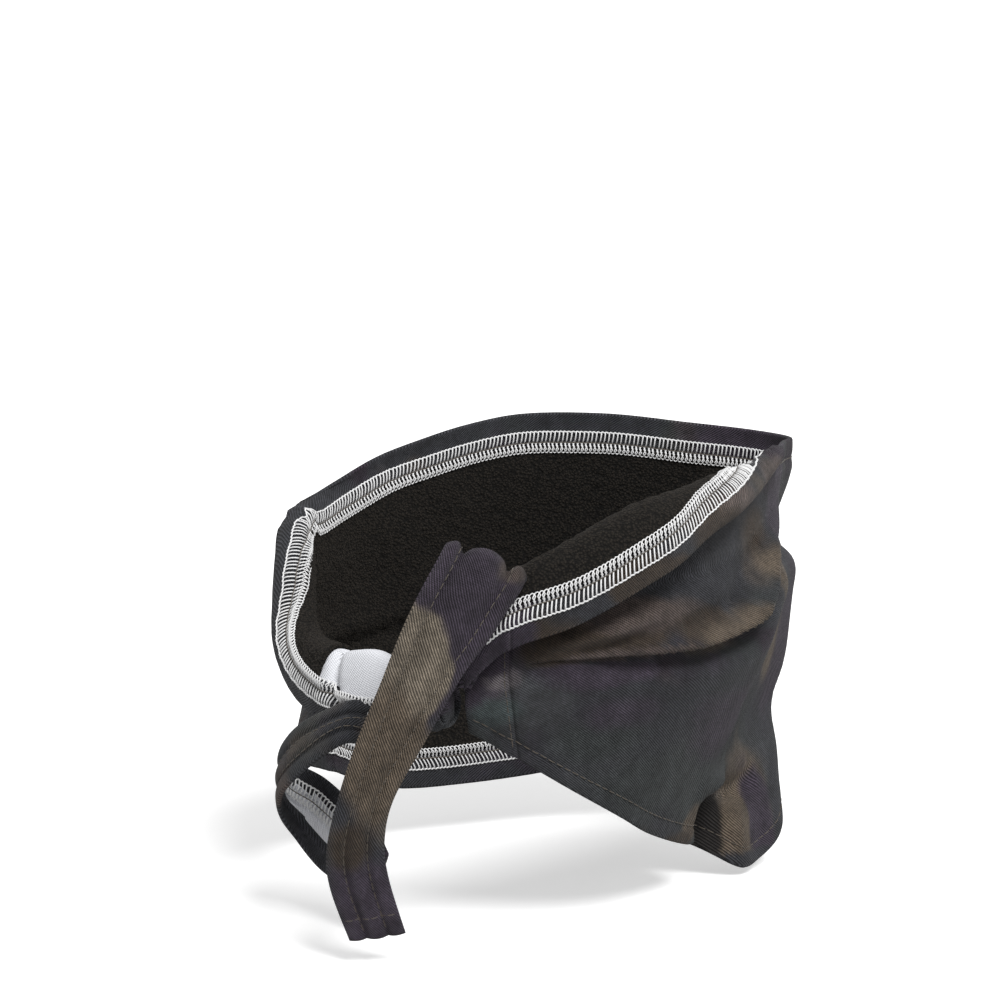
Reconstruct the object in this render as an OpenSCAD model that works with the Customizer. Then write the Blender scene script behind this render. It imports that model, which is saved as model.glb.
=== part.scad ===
// Tie-back fleece-lined face mask, tied as it is worn round a head.
// Origin: centre of the head opening. +Z is up the wearer's head, the face looks along -Y,
// and the wearer's right side, with the knot behind it, is on -X.

/* [Fabric] */
// Thickness of the printed outer knit
shell_t = 0.8; // [0.6:0.1:1]
// Thickness of the fleece liner
liner_t = 1.6; // [1:0.1:1.8]
// Air gap left between two layers of cloth
gap = 0.4; // [0.3:0.05:0.5]

/* [Hems] */
// Width of the turned hem, from its fold to the stitching
hem_w = 5.5; // [4:0.5:7]
// Width of the band of looper threads inside a hem
web_w = 7; // [5:0.5:8]
// Thickness of the looper threads
web_t = 0.5; // [0.3:0.1:0.6]
// Width of a line of needle stitches
stitch_w = 0.9; // [0.6:0.1:1.2]
// Height of a line of needle stitches
stitch_t = 0.4; // [0.3:0.1:0.5]

/* [Ties] */
// Thickness of a tie with its turned hems
tie_t = 1.6; // [1:0.2:2]

/* [Bib] */
// Height of the line that the loose front of the bib lifts about
lift_z = -88; // [-92:1:-84]

/* [Detail] */
// Mesh columns between two stations of the band
columns = 3; // [2:1:3]

/* [Hidden] */

eps = 0.05;

// Stations run round the band: knot (0), near seam, nose (8 to 9), far seam (15), back, knot (21).
near_seam = 1.1;
far_seam = 15;
last = 21;
rows = 4;           // mesh rows from one edge of a surface to the other

// The line where the upper layer turns over or ends, one point at each station.
TOP = [
    [-44, 54, -42], [-54, 42, -18], [-64, 24, -3], [-70, 0, 7], [-69, -24, 11], [-58, -52, 13],
    [-43, -77, 15], [-24, -98, 12], [-9, -115, 10], [8, -116, 10], [26, -101, 12], [45, -78, 15],
    [60, -50, 15], [67, -18, 9], [67, 10, 1], [59, 32, -8], [46, 42, -20], [34, 50, -34],
    [19, 56, -41], [-2, 60, -40], [-20, 60, -37], [-33, 57, -42]];

// The bottom hem of the mask, one point at each station.
HEM = [
    [-42, 53, -55], [-51, 36, -66], [-58, 18, -78], [-60, 0, -89], [-56, -16, -98],
    [-46, -39, -107], [-36, -56, -111], [-38, -68, -121], [-34, -90, -113], [-14, -99, -88],
    [6, -100, -88], [28, -90, -96], [46, -64, -104], [56, -30, -106], [61, 0, -104],
    [58, 25, -94], [47, 44, -86], [36, 54, -77], [20, 60, -66], [-2, 61, -61], [-20, 60, -59],
    [-32, 58, -60]];

// How far the upper layer overhangs at its lower lip, how high the lip is, how deep the
// lower layer is tucked in behind it, and how far the lower layer bulges out below.
LIP_OUT = [1, 2, 4, 6, 7, 6, 1, -3, -5, -3, 1, 3, 4, 3, 3, 2, 1, 1, 0, 0, 0, 0];
LIP_Z = [-47, -38, -36, -36, -35, -30, -16, -14, -16, -18, -24, -31, -37, -41, -44, -46, -50,
    -56, -53, -50, -47, -51];
TUCK = [0, 1, 3, 6, 8, 8, 7, 6, 5, 4, 3, 3, 3, 2, 2, 1, 0, 0, 0, 0, 0, 0];
BULGE = [0, 1, 2, 3, 5, 8, 9, 8, 7, 6, 5, 3, 3, 3, 3, 2, 0, 0, 0, 0, 0, 0];

// Length of the part of the top edge that has turned over outwards, and how far it stands out.
CUFF = [8, 17, 20, 16, 11, 8, 5, 3, 2];
CUFF_OUT = [4, 5, 9, 12, 10, 7, 5, 4, 4];

// Edges of the tie beyond the knot: the strap that rises from the knot to the fold.
RISE_A = [[-43, 61, -40], [-45, 63, -28], [-46, 62, -16], [-47, 60, -8]];
RISE_B = [[-51, 51, -40], [-58, 47, -28], [-61, 42, -19], [-62, 40, -13]];

// The two edges of the hanging near tie, from its fold down to its end.
TAIL_A = [[-49, 61, -3], [-48, 69, -16], [-48, 75, -28], [-46, 80, -42], [-43, 86, -57],
    [-40, 91, -74], [-37, 93, -89], [-37, 91, -102], [-39, 86, -117]];
TAIL_B = [[-64, 40, -8], [-65, 43, -14], [-62, 54, -28], [-59, 62, -41], [-54, 70, -57],
    [-49, 77, -74], [-46, 79, -87], [-46, 77, -99], [-48, 73, -115]];

// The two edges of the far tie, from the knot round its curl to its end.
FAR_A = [[-26, 69, -50], [-19, 74, -51], [-3, 79, -60], [9, 78, -70], [15, 71, -76],
    [11, 61, -82], [2, 57, -88], [-8, 55, -94], [-17, 56, -101]];
FAR_B = [[-27, 69, -63], [-22, 76, -62], [-13, 82, -69], [0, 84, -80], [10, 78, -90],
    [11, 71, -99], [4, 67, -107], [-6, 65, -111], [-17, 64, -115]];

// The stub of the far tie between the knot and the place where it starts to hang free.
STUB_A = [[-34, 67, -47], [-27.5, 69, -49.6]];
STUB_B = [[-34, 67, -60], [-28.5, 69, -62.5]];

// The knot: one turn of the near tie round the far tie, which runs through it.
KNOT = [-39, 58, -50];
knot_turn = 32;     // heading of the tie through the knot, in degrees from +X
turn_r = 8.4;
turn_w = 10;
core_r = 4.8;

UPPER = 0;
LOWER = 1;
WING = 2;
CUFF_SIDE = 3;

// Catmull-Rom value of the list p at the station t.
function along(p, t) =
    let (n = len(p) - 1, i = max(min(floor(t), n - 1), 0), f = t - i,
        a = p[max(i - 1, 0)], b = p[i], c = p[i + 1], d = p[min(i + 2, n)])
    0.5 * (2 * b + (c - a) * f + (2 * a - 5 * b + 4 * c - d) * f * f
        + (3 * b - a - 3 * c + d) * f * f * f);

function mix(a, b, v) = a + (b - a) * v;
function unit(v) = v / norm(v);

// Outward horizontal direction of the band at station s.
function outward(s) =
    let (d = along(TOP, min(s + eps, last)) - along(TOP, max(s - eps, 0)))
    unit([d.y, -d.x, 0]);

// A point of the upper layer: v runs from its top line (0) down to its lip (1).
function upper(s, v) =
    let (p = along(TOP, s), out = along(LIP_OUT, s) * v * v - 2 * sin(180 * v))
    [p.x, p.y, mix(p.z, along(LIP_Z, s), v)] + outward(s) * out;

// A point of the lower layer: v runs from under the lip (0) down to the bottom hem (1).
function lower(s, v) =
    let (p = along(TOP, s), a = [p.x, p.y, along(LIP_Z, s) - 1]
            + outward(s) * (along(LIP_OUT, s) - along(TUCK, s)))
    mix(a, along(HEM, s), v) + outward(s) * along(BULGE, s) * sin(180 * v);

// A point of a wing, one layer from top edge (0) to bottom edge (1), which meets both layers at a seam.
function wing(s, v) = v <= 0.5 ? upper(s, 2 * v) : lower(s, 2 * v - 1);

// A point of the part that has turned over: v runs from the fold (0) to the free edge (1).
function cuff(s, v) =
    let (p = along(TOP, s))
    p + outward(s) * mix(2.2, along(CUFF_OUT, s), sin(90 * v)) - [0, 0, along(CUFF, s) * v];

// A point between the two edges of a tie.
function strap(a, b, t, w) = mix(along(a, t), along(b, t), w);
function strap_normal(a, b, t) =
    let (n = len(a) - 1, d = strap(a, b, min(t + eps, n), 0.5) - strap(a, b, max(t - eps, 0), 0.5))
    unit(cross(d, along(b, t) - along(a, t)));

function steps(a, b, n) = [for (i = [0 : n]) a + (b - a) * i / n];
function flat(rows) = [for (r = rows) for (p = r) p];

// From a to b, by way of every multiple of 1 / n between them.
function lattice(a, b, n) = concat(a, [for (i = [floor(a * n + 1.01) : ceil(b * n - 1.01)]) i / n], b);

// A closed solid between two grids of points of the same size.
module slab(front, back) {
    n = len(front) - 1;
    m = len(front[0]) - 1;
    k = (n + 1) * (m + 1);
    function id(i, j, side) = side * k + i * (m + 1) + j;
    function quad(a, b, c, d) = [[a, b, c], [a, c, d]];
    sides = concat(
        [for (i = [0 : n - 1]) for (j = [0 : m - 1])
            quad(id(i, j, 0), id(i + 1, j, 0), id(i + 1, j + 1, 0), id(i, j + 1, 0))],
        [for (i = [0 : n - 1]) for (j = [0 : m - 1])
            quad(id(i, j, 1), id(i, j + 1, 1), id(i + 1, j + 1, 1), id(i + 1, j, 1))],
        [for (i = [0 : n - 1])
            quad(id(i, 0, 0), id(i, 0, 1), id(i + 1, 0, 1), id(i + 1, 0, 0))],
        [for (i = [0 : n - 1])
            quad(id(i, m, 0), id(i + 1, m, 0), id(i + 1, m, 1), id(i, m, 1))],
        [for (j = [0 : m - 1])
            quad(id(0, j, 0), id(0, j + 1, 0), id(0, j + 1, 1), id(0, j, 1))],
        [for (j = [0 : m - 1])
            quad(id(n, j, 0), id(n, j, 1), id(n, j + 1, 1), id(n, j + 1, 0))]);
    polyhedron(concat(flat(front), flat(back)), flat(sides));
}

// One layer of cloth over part of a surface of the band, between two distances outwards.
function place(kind, s, v) =
    kind == UPPER ? upper(s, v) : kind == LOWER ? lower(s, v) : kind == WING ? wing(s, v) : cuff(s, v);

// The same point on the flat facets between lattice points, so that layers with
// different edges stay parallel, and the outward direction there.
function facet_row(kind, i, f, v) = mix(place(kind, i / columns, v), place(kind, (i + 1) / columns, v), f);
function facet(kind, s, v) =
    let (i = floor(s * columns), f = s * columns - i, j = min(floor(v * rows), rows - 1), g = v * rows - j)
    mix(facet_row(kind, i, f, j / rows), facet_row(kind, i, f, (j + 1) / rows), g);
function facet_out(s) =
    let (i = floor(s * columns), f = s * columns - i)
    mix(outward(i / columns), outward((i + 1) / columns), f);

// lists[i] holds the values of v at the station stations[i].
function band_grid(kind, stations, lists, out) =
    [for (i = [0 : len(stations) - 1])
        [for (v = lists[i]) facet(kind, stations[i], v) + facet_out(stations[i]) * out]];
module band(kind, s0, s1, lo, hi, from, to) {
    stations = lattice(s0, s1, columns);
    lists = [for (s = stations) lattice(lo, hi, rows)];
    slab(band_grid(kind, stations, lists, to), band_grid(kind, stations, lists, from));
}

// Length of the surface's profile at a station, to turn millimetres into v.
function height(kind, s) =
    let (p = [for (v = steps(0, 1, rows)) facet(kind, s, v)], run = [for (i = [1 : rows]) norm(p[i] - p[i - 1])])
    run * [for (i = run) 1];

// A strip that follows one edge of a surface at a fixed distance in millimetres.
// top: true counts from v = 0, false from v = 1.
module edge_strip(kind, s0, s1, top, d0, d1, from, to) {
    stations = lattice(s0, s1, columns);
    lists = [for (s = stations) let (h = height(kind, s))
        top ? [d0 / h, d1 / h] : [1 - d1 / h, 1 - d0 / h]];
    slab(band_grid(kind, stations, lists, to), band_grid(kind, stations, lists, from));
}

// A length of tie between two of its stations, with w across its width from 0 to 1.
function tie_grid(a, b, list, w0, w1, cols, out) =
    [for (t = list) [for (c = [0 : cols])
        strap(a, b, t, mix(w0, w1, c / cols)) + strap_normal(a, b, t) * out]];
module tie(a, b, t0, t1, w0, w1, from, to) {
    list = steps(t0, t1, max(ceil((t1 - t0) * columns), 1));
    slab(tie_grid(a, b, list, w0, w1, 2, to), tie_grid(a, b, list, w0, w1, 2, from));
}

// Distances outwards of the liner and of the threads on it.
liner_in = -gap - liner_t;
web_in = liner_in - gap - web_t;
stitch_at = hem_w - stitch_w / 2;
wing_slack = 1.5;   // room between the far wing's liner and its threads, which cross a crease
free = 0.06;        // gap beside a seam, in stations
cuff_s0 = 1.3;
cuff_s1 = 6.6;
front_s0 = 5.5;     // the loose front of the bib, in stations
front_s1 = 8.1;
beside = 0.05;
web_s1 = 3.8;       // where the looper threads pass from the cuff to the inside
camo = "darkslategray";
thread = "gainsboro";

// v of the lower layer at the line that the loose front lifts about.
function lift_v(s) = (along(LIP_Z, s) - lift_z) / (along(LIP_Z, s) - along(HEM, s).z);

module face_panel() {
    color(camo) band(UPPER, near_seam + free, far_seam - free, 0.02, 1, 0, shell_t);
}
module face_liner() {
    color("black") band(UPPER, near_seam + 3 * free, far_seam - 3 * free, 0.02, 1, liner_in, -gap);
}
module top_cuff() {
    color(camo) band(CUFF_SIDE, cuff_s0, cuff_s1, 0, 1, -shell_t, 0);
}
module cuff_liner() {
    color("black") band(CUFF_SIDE, cuff_s0 + 2 * free, cuff_s1, 0, 1, gap, gap + liner_t);
}
module near_bib() {
    color(camo) band(LOWER, near_seam + free, front_s0 - beside, 0, 1, 0, shell_t);
}
module near_bib_liner() {
    color("black") band(LOWER, near_seam + 3 * free, front_s0 - beside, 0, 0.97, liner_in, -gap);
}
module far_bib() {
    color(camo) band(LOWER, front_s1 + beside, far_seam - free, 0, 1, 0, shell_t);
}
module far_bib_liner() {
    color("black") band(LOWER, front_s1 + beside, far_seam - 3 * free, 0, 0.97, liner_in, -gap);
}
module bib_part(v0, v1, from, to) {
    stations = lattice(front_s0, front_s1, columns);
    lists = [for (s = stations) steps(v0 < 0 ? lift_v(s) - v0 : v0, v1 < 0 ? lift_v(s) + v1 : v1, 3)];
    slab(band_grid(LOWER, stations, lists, to), band_grid(LOWER, stations, lists, from));
}
module chin_bib() {
    color(camo) bib_part(0, -0.025, 0, shell_t);
}
module chin_bib_liner() {
    color("black") bib_part(0, -0.05, liner_in, -gap);
}
module front_bib() {
    color(camo) bib_part(-0.025, 1, 0, shell_t);
}
module front_bib_liner() {
    color("black") bib_part(-0.025, 0.97, liner_in, -gap);
}
module near_wing() {
    color(camo) band(WING, 0.5, near_seam - free, 0, 1, 0, shell_t);
}
module far_wing() {
    color(camo) band(WING, far_seam + free, 20.6, 0, 1, 0, shell_t);
}
module far_wing_liner() {
    color("black") band(WING, far_seam + 3 * free, 19.6, 0.02, 0.98, liner_in, -gap);
}
module near_side_seam() {
    color("dimgray") band(WING, near_seam - free * 0.6, near_seam + free * 0.6, 0.02, 0.98, 0.1, shell_t);
}
module far_side_seam() {
    color("dimgray") band(WING, far_seam - free * 0.6, far_seam + free * 0.6, 0.02, 0.98, 0.1, shell_t);
}
module cuff_web() {
    color(thread) edge_strip(CUFF_SIDE, cuff_s0 + 2 * free, web_s1, false, hem_w, hem_w + web_w,
        2 * gap + liner_t, 2 * gap + liner_t + web_t);
}
module nose_web() {
    color(thread) edge_strip(UPPER, 6.8, 10, true, hem_w, hem_w + web_w, web_in, liner_in - gap);
}
module far_top_web() {
    color(thread) {
        edge_strip(UPPER, 10.1, far_seam - 4 * free, true, hem_w, hem_w + web_w, web_in, liner_in - gap);
        edge_strip(WING, far_seam + 4 * free, 17.6, true, hem_w / 2, hem_w / 2 + web_w * 0.8,
            web_in - wing_slack, liner_in - gap - wing_slack);
    }
}
module near_bottom_web() {
    color(thread) edge_strip(LOWER, near_seam + 4 * free, front_s0 - 2 * beside, false,
        hem_w, hem_w + web_w, web_in, liner_in - gap);
}
module far_bottom_web() {
    color(thread) edge_strip(LOWER, front_s1 + 2 * beside, far_seam - 4 * free, false,
        hem_w, hem_w + web_w, web_in, liner_in - gap);
}
module front_bottom_web() {
    color(thread) edge_strip(LOWER, front_s0 + beside, front_s1 - beside, false,
        hem_w, hem_w + web_w, web_in, liner_in - gap);
}
module stitches(kind, s0, s1, top) {
    color("tan") edge_strip(kind, s0, s1, top, stitch_at, stitch_at + stitch_w,
        shell_t + 1.2 * gap, shell_t + 1.2 * gap + stitch_t);
}
module top_stitching() {
    stitches(UPPER, cuff_s1 + 0.3, far_seam - 2 * free, true);
    stitches(WING, far_seam + 2 * free, 20, true);
}
module near_bottom_stitching() {
    stitches(WING, 0.6, near_seam - 2 * free, false);
    stitches(LOWER, near_seam + 2 * free, front_s0 - 2 * beside, false);
}
module far_bottom_stitching() {
    stitches(LOWER, front_s1 + 2 * beside, far_seam - 2 * free, false);
    stitches(WING, far_seam + 2 * free, 20, false);
}
module front_bottom_stitching() {
    stitches(LOWER, front_s0 + beside, front_s1 - beside, false);
}
module at_knot() {
    translate(KNOT) rotate([0, 0, knot_turn]) rotate([0, 90, 0]) children();
}
module near_knot_turn() {
    color(camo) at_knot() rotate_extrude($fn = 40)
        translate([(turn_r + core_r + 2 * gap) / 2, 0])
            square([turn_r - core_r - 2 * gap, turn_w], center = true);
}
module far_knot_turn() {
    color(camo) at_knot() {
        cylinder(r = core_r, h = turn_w + 2, center = true, $fn = 32);
        for (end = [-1, 1]) translate([0, 0, end * (turn_w / 2 + 1)]) sphere(r = core_r, $fn = 32);
    }
}
module near_tie_rise() {
    color(camo) tie(RISE_A, RISE_B, 0, 3, 0, 1, -tie_t / 2, tie_t / 2);
}
module near_tail() {
    color(camo) tie(TAIL_A, TAIL_B, 0, 7.5, 0, 1, -tie_t / 2, tie_t / 2);
}
module tie_stitches(a, b, t0, t1, out) {
    for (side = [0.24, 0.73])
        tie(a, b, t0, t1, side, side + 0.03, out, out + stitch_t);
}
module near_tail_stitching() {
    color("tan") tie_stitches(TAIL_A, TAIL_B, 0.2, 7.4, tie_t / 2 + gap);
}
module near_tail_end_hem() {
    color(camo) tie(TAIL_A, TAIL_B, 7.54, 8, 0, 1, -tie_t / 2 - 0.5, tie_t / 2);
}
module far_tie_root() {
    color(camo) tie(STUB_A, STUB_B, 0, 1, 0, 1, -tie_t / 2, tie_t / 2);
}
module far_tail() {
    color(camo) tie(FAR_A, FAR_B, 0, 7.5, 0, 1, -tie_t / 2, tie_t / 2);
}
module far_tail_web() {
    color(thread) for (w = [0.14, 0.58])
        tie(FAR_A, FAR_B, 0.5, 7.4, w, w + 0.28, -tie_t / 2 - 0.1 - web_t, -tie_t / 2 - 0.1);
}
module far_tail_stitching() {
    color("tan") tie_stitches(FAR_A, FAR_B, 0.2, 7.4, tie_t / 2 + gap);
}
module far_tail_end_hem() {
    color(camo) tie(FAR_A, FAR_B, 7.54, 8, 0, 1, -tie_t / 2 - 0.5, tie_t / 2);
}

face_panel();
face_liner();
top_cuff();
cuff_liner();
near_bib();
near_bib_liner();
far_bib();
far_bib_liner();
chin_bib();
chin_bib_liner();
front_bib();
front_bib_liner();
near_wing();
far_wing();
far_wing_liner();
near_side_seam();
far_side_seam();
cuff_web();
nose_web();
far_top_web();
near_bottom_web();
far_bottom_web();
front_bottom_web();
top_stitching();
near_bottom_stitching();
far_bottom_stitching();
front_bottom_stitching();
near_knot_turn();
far_knot_turn();
near_tie_rise();
near_tail();
near_tail_stitching();
near_tail_end_hem();
far_tie_root();
far_tail();
far_tail_web();
far_tail_stitching();
far_tail_end_hem();
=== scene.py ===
"""A tie-back camouflage face mask, as it is worn round a head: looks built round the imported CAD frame.

Lengths below are in millimetres in the frame's axes (+Z up, the face looks along -Y, the knot is at -X +Y).
Every piece of cloth is a grid of points: columns run along the cloth, rows run across it.
"""
import math

import bpy
import numpy as np
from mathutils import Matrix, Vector


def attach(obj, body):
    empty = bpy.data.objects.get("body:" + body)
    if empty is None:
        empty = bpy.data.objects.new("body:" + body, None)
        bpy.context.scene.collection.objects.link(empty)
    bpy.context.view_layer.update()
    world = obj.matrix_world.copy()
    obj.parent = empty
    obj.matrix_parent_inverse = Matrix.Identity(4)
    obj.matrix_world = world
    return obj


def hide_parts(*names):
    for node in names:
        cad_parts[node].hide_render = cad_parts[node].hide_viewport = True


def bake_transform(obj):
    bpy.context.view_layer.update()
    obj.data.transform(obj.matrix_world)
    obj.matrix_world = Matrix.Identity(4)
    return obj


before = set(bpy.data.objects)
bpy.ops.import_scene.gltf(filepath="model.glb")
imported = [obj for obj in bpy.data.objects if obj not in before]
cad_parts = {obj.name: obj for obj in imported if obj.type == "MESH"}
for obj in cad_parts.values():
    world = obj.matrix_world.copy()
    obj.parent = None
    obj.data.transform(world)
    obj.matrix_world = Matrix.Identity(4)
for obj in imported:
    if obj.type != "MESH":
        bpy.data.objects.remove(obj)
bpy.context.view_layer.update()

MM = 0.001

# ---------------------------------------------------------------- driving sizes

SHELL = 0.8             # thickness of the printed knit
PLY = 0.8               # thickness of the turned allowance inside a hem
FLEECE = 1.5            # thickness of the liner
HEM = 5.8               # from a hem's fold to its needle stitches
WEB_FROM, WEB_TO = 5.6, 12.6    # the band of looper threads inside a hem
WEB_LIFT = -SHELL - PLY - 0.1   # from the cloth's outer face to those threads, inwards
ALLOWANCE = 12.3        # width of the turned allowance
LINER_EDGE = ALLOWANCE - 0.9    # from a hem's fold to the liner's edge
LINER_ROWS = 84         # rows of the liner from one edge to the other
CELL = 1.35             # grid spacing of the cloth
STITCH = 3.0            # length of one needle stitch

NEAR_SEAM, FAR_SEAM, LAST = 1.1, 15, 21

# The line where the upper layer turns over or ends, one point at each station.
TOP = [
    (-44, 54, -42), (-54, 42, -15), (-64, 24, -3), (-70, 0, 7), (-69, -24, 11), (-58, -52, 13),
    (-43, -77, 15), (-24, -98, 12), (-9, -115, 10), (8, -116, 10), (26, -101, 12), (45, -78, 15),
    (60, -50, 15), (67, -18, 9), (67, 10, 1), (59, 32, -8), (46, 42, -20), (34, 50, -34),
    (19, 56, -41), (-2, 60, -40), (-20, 60, -37), (-33, 57, -42)]

# The bottom hem, one point at each station.
BOTTOM = [
    (-42, 53, -55), (-51, 36, -66), (-58, 18, -78), (-60, 0, -89), (-56, -16, -98),
    (-46, -39, -107), (-36, -56, -111), (-38, -68, -121), (-34, -90, -113), (-14, -99, -88),
    (6, -100, -88), (28, -90, -96), (46, -64, -104), (56, -30, -106), (61, 0, -104),
    (58, 25, -94), (47, 44, -86), (36, 54, -77), (20, 60, -66), (-2, 61, -61), (-20, 60, -59),
    (-32, 58, -60)]

# The upper layer's lower lip: how far it overhangs and how high it is. The lower layer: how deep
# it is tucked in behind the lip and how far it bulges out below.
LIP_OUT = [1, 2, 4, 6, 7, 6, 1, -3, -5, -3, 1, 3, 4, 3, 3, 2, 1, 1, 0, 0, 0, 0]
LIP_Z = [-47, -38, -36, -36, -35, -30, -16, -14, -16, -18, -24, -31, -37, -41, -44, -46, -50,
         -56, -53, -50, -47, -51]
TUCK = [0, 1, 3, 6, 8, 8, 7, 6, 5, 4, 3, 3, 3, 2, 2, 1, 0, 0, 0, 0, 0, 0]
BULGE = [0, 1, 2, 3, 5, 8, 9, 8, 8, 6, 5, 3, 3, 3, 3, 2, 0, 0, 0, 0, 0, 0]

# Length of the top edge that has turned over outwards, and how far its free edge stands out.
CUFF = [8, 17, 20, 16, 8, 5, 2.2, 1, 0.5, 0.3, 0.2, 0.3, 0.6, 1.0, 1.6, 2.4, 4, 7, 13, 20, 25, 18]
CUFF_OUT = [4, 7, 10, 12, 9, 4.2, 1.6, 0.8, 0.6, 0.6, 0.8, 1.2, 2, 3, 4.2, 6, 7.5, 9, 9, 8, 8, 6]

# Edges of the near tie, from the knot up, over its fold and down to its end.
TIE_LEFT = [
    (-43, 60, -42), (-45, 61, -28), (-46.5, 60, -14), (-48.5, 58.5, -4), (-51.5, 59.5, 0.5),
    (-53, 64, -4), (-51, 70, -15), (-48.5, 75, -27), (-46.5, 80, -40), (-43.5, 86, -56),
    (-40, 90.5, -73.5), (-37, 92.5, -89), (-36.5, 91, -101), (-39, 86, -117)]
TIE_RIGHT = [
    (-50, 50, -44), (-56, 47, -32), (-60, 43, -22), (-62.5, 40, -13), (-65, 41, -9),
    (-66.5, 44, -12.5), (-65.5, 48, -18), (-63, 53.5, -27), (-60, 61.5, -38), (-54.5, 70, -56),
    (-48.5, 77.5, -74), (-46, 79, -87), (-46, 77.5, -98.5), (-48, 73, -115)]

# Edges of the far tie, from the knot round its curl to its end.
FAR_TOP = [
    (-34, 67, -47), (-26, 69, -50), (-19, 74, -51), (-3, 79, -60), (9, 78, -70), (15, 71, -76),
    (11, 61, -82), (2, 57, -88), (-8, 55, -94), (-17, 56, -101)]
FAR_LOW = [
    (-34, 67, -60), (-27, 69, -63), (-22, 76, -62), (-13, 82, -69), (0, 84, -80), (10, 78, -90),
    (11, 71, -99), (4, 67, -107), (-6, 65, -111), (-17, 64, -115)]

KNOT = (-39, 58, -50)
KNOT_TURN = 32          # heading of the tie through the knot, in degrees from +X


# ---------------------------------------------------------------- numbers

def curve(points, t):
    """Catmull-Rom values through the rows of points at the parameters t."""
    p = np.asarray(points, float)
    t = np.atleast_1d(np.asarray(t, float))
    i = np.clip(np.floor(t).astype(int), 0, len(p) - 2)
    f = (t - i).reshape((-1,) + (1,) * (p.ndim - 1))
    a, b = p[np.maximum(i - 1, 0)], p[i]
    c, d = p[i + 1], p[np.minimum(i + 2, len(p) - 1)]
    return 0.5 * (2 * b + (c - a) * f + (2 * a - 5 * b + 4 * c - d) * f ** 2
                  + (3 * b - a - 3 * c + d) * f ** 3)


def smooth(x):
    """0 below 0, 1 above 1, and a smooth step between."""
    x = np.clip(x, 0, 1)
    return x * x * (3 - 2 * x)


def unit(v):
    return v / np.maximum(np.linalg.norm(v, axis=-1, keepdims=True), 1e-9)


def run_along(points):
    """Distance along a line of points, from 0."""
    steps = np.linalg.norm(np.diff(points, axis=0), axis=-1)
    return np.concatenate([[0], np.cumsum(steps)])


def soft_noise(p, size, seed):
    """Smooth noise of about -1 to 1 over the points p, with features about size mm across."""
    rng = np.random.default_rng(seed)
    count = 16
    waves = unit(rng.normal(size=(count, p.shape[-1])))
    waves *= (2 * math.pi / size * rng.uniform(0.5, 1.4, count))[:, None]
    phase = rng.uniform(0, 2 * math.pi, count)
    return np.sin(p @ waves.T + phase).sum(-1) * math.sqrt(2 / count) * 0.6


# ---------------------------------------------------------------- cloth as a grid

class Cloth:
    """points[column, row] in mm, and across[column, row], the distance from the first edge."""

    def __init__(self, points, flip=False):
        self.points = points
        steps = np.linalg.norm(np.diff(points, axis=1), axis=-1)
        start = np.zeros((len(points), 1))
        self.across = np.concatenate([start, np.cumsum(steps, axis=1)], axis=1)
        self.total = self.across[:, -1]
        self.run = run_along(points[:, points.shape[1] // 2])
        along = np.gradient(points, axis=0)
        down = np.gradient(points, axis=1)
        self.down = unit(down)
        self.normals = unit(np.cross(down, along)) * (-1 if flip else 1)

    def lifted(self, height):
        """The same cloth, moved along its normals by height[column, row]."""
        out = Cloth(self.points + self.normals * height[..., None])
        out.normals *= np.sign(np.sum(out.normals * self.normals))
        return out

    def line(self, distance, lift):
        """A line of points, one per column, at a distance from the first edge (or, below 0, the last)."""
        out = np.empty((len(self.points), 3))
        for c, (p, n, a) in enumerate(zip(self.points, self.normals, self.across)):
            d = distance if distance >= 0 else a[-1] + distance
            for k in range(3):
                out[c, k] = np.interp(d, a, p[:, k]) + lift * np.interp(d, a, n[:, k])
        return out

    def normal_line(self, distance):
        """The normals along such a line."""
        return unit(self.line(distance, 1.0) - self.line(distance, 0.0))


def pick(line, q):
    """Points of a line at the fractional columns q."""
    column = np.arange(len(line))
    return np.stack([np.interp(q, column, line[:, k]) for k in range(3)], -1)


def even(line, step, first, last):
    """Fractional columns from first to last, spaced by step mm along the line."""
    distance = run_along(line)
    span = np.interp([first, last], np.arange(len(line)), distance)
    count = max(int(round((span[1] - span[0]) / step)), 2)
    return np.interp(np.linspace(span[0], span[1], count + 1), distance, np.arange(len(line)))


def resample(points, rows):
    """Lines of points[column, k], each put at the distances rows(total) along it, and where each new
    point lies between the line's first point, 0, and its last, 1."""
    out, share = [], []
    for line in points:
        distance = run_along(line)
        at = rows(distance[-1])
        out.append(np.stack([np.interp(at, distance, line[:, k]) for k in range(3)], -1))
        share.append(np.interp(at, distance, np.linspace(0, 1, len(line))))
    return np.array(out), np.array(share)


def edge_rows(middle, zone=16.0, fine=12):
    """Row distances that are dense and fixed near both edges, with the rest spread between."""
    def rows(total):
        z = min(zone, 0.36 * total)
        head = np.linspace(0, z, fine + 1)
        body = np.linspace(z, total - z, middle + 1)[1:-1]
        return np.concatenate([head, body, total - head[::-1]])
    return rows


# ---------------------------------------------------------------- the band round the head

def outward(s):
    """Outward horizontal direction of the band at the stations s."""
    step = 0.25
    d = curve(TOP, np.minimum(s + step, LAST)) - curve(TOP, np.maximum(s - step, 0))
    return unit(np.stack([d[:, 1], -d[:, 0], 0 * s], 1))


CREST_ROW = 5           # the profile's last control point that belongs to the turned edge
LIP_ROW = 9             # the profile's control point at the lip
BAND_ROWS = 78          # spaces between rows of the band, away from its edges
PROFILE_POINTS = 260    # points that the profile is drawn with before its rows are spaced out


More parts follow.
